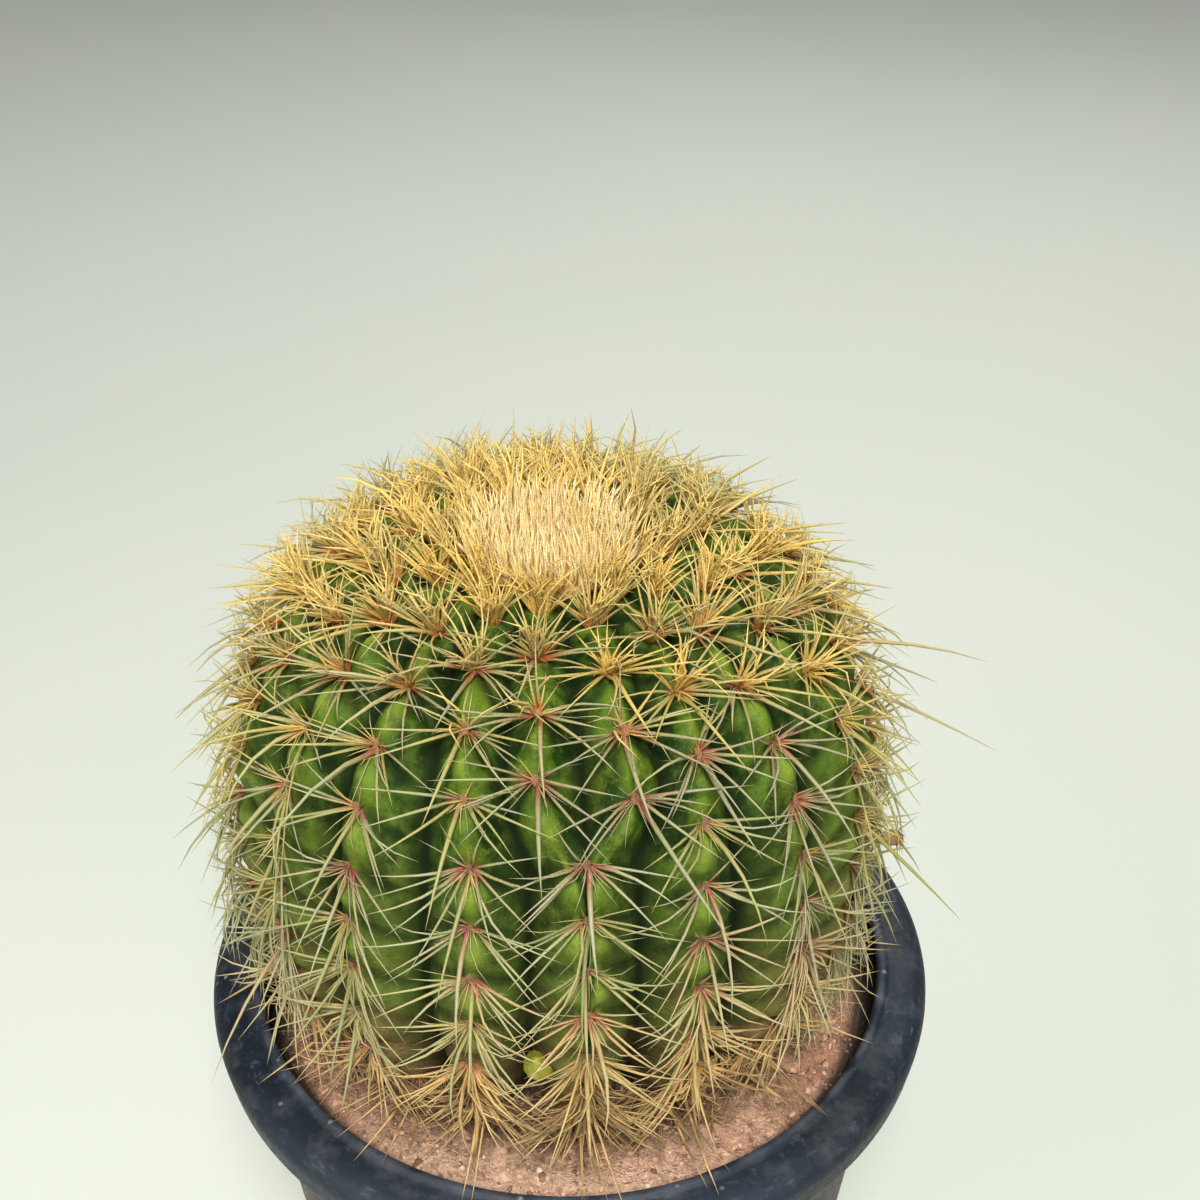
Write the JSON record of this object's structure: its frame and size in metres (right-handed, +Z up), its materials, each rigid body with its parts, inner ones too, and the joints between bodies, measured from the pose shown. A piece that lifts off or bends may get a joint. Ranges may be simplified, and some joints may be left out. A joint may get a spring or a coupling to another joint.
{
  "type": "potted round cactus",
  "caption": "Round ribbed cactus with straw-coloured spines and a dense golden crown, growing in sandy soil in a dark plastic nursery pot with a rolled rim.",
  "frame": {"origin": "centre of the pot's flat foot, on the surface that it stands on", "axes": "+Z up along the pot's axis, -Y towards the side seen in the picture, +X to its right"},
  "size_m": [0.2406, 0.223, 0.3461],
  "materials": {
    "pot_plastic": "satin",
    "sandy_soil": "matte",
    "cactus_flesh": "satin",
    "golden_felt": "matte"
  },
  "bodies": {
    "root": {"pot": "pot_plastic", "soil": "sandy_soil", "cactus_stem": "cactus_flesh", "crown_tuft": "golden_felt"}
  },
  "joints": []
}
